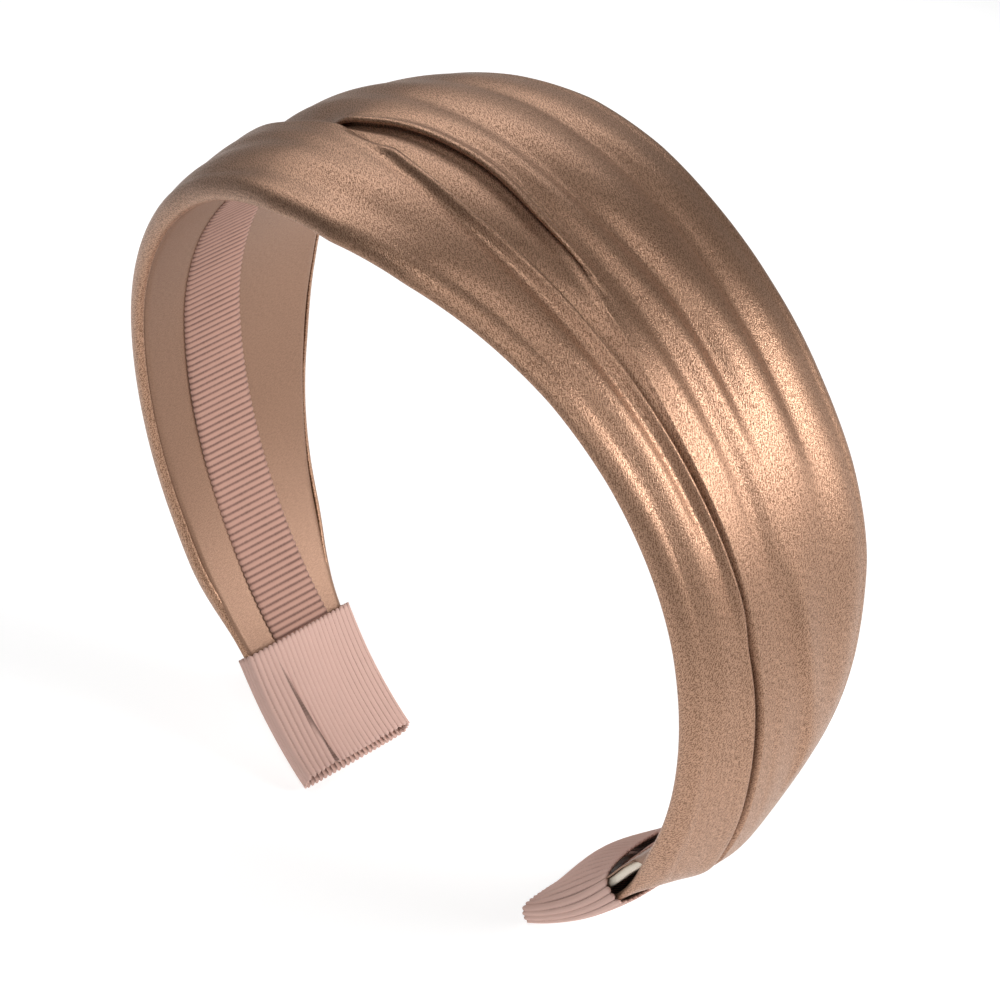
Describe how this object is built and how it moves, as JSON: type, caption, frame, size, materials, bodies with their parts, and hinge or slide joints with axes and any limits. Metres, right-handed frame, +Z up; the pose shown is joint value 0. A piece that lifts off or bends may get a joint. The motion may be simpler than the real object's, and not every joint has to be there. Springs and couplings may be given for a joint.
{
  "type": "twist-front headband",
  "caption": "Wide padded satin headband on a sprung arch, with overlapping draped panels, a ribbon down the inside and ribbon cuffs on the tips.",
  "frame": {"origin": "on the surface that the two tips stand on, midway between the ends of the band's box", "axes": "+X across the head towards the right tip, +Y towards the back of the head, +Z up through the crown"},
  "size_m": [0.1466, 0.0605, 0.1397],
  "materials": {
    "core_plastic": "moulded, matt ivory",
    "foam": "open-cell foam, cream",
    "lining_satin": "satin weave, mid brown",
    "panel_satin": "satin weave with a metallic sheen, rose bronze",
    "grosgrain": "ribbed grosgrain, dusty pink"
  },
  "bodies": {
    "left_half": {"band_core_left": "core_plastic", "foam_pad_left": "foam", "lining_left": "lining_satin", "centre_ribbon_left": "grosgrain", "front_panel_left": "panel_satin", "back_panel_left": "panel_satin", "cuff_left": "grosgrain"},
    "right_half": {"band_core_right": "core_plastic", "foam_pad_right": "foam", "lining_right": "lining_satin", "centre_ribbon_right": "grosgrain", "front_panel_right": "panel_satin", "back_panel_right": "panel_satin", "cuff_right": "grosgrain"}
  },
  "joints": [
    {"name": "arch_flex", "type": "hinge", "parent": "left_half", "child": "right_half", "pos_m": [0, 0, 0.1398], "axis": [0, -1, 0], "range_deg": [0, 26], "stiffness_Nm_per_rad": 1.1}
  ]
}
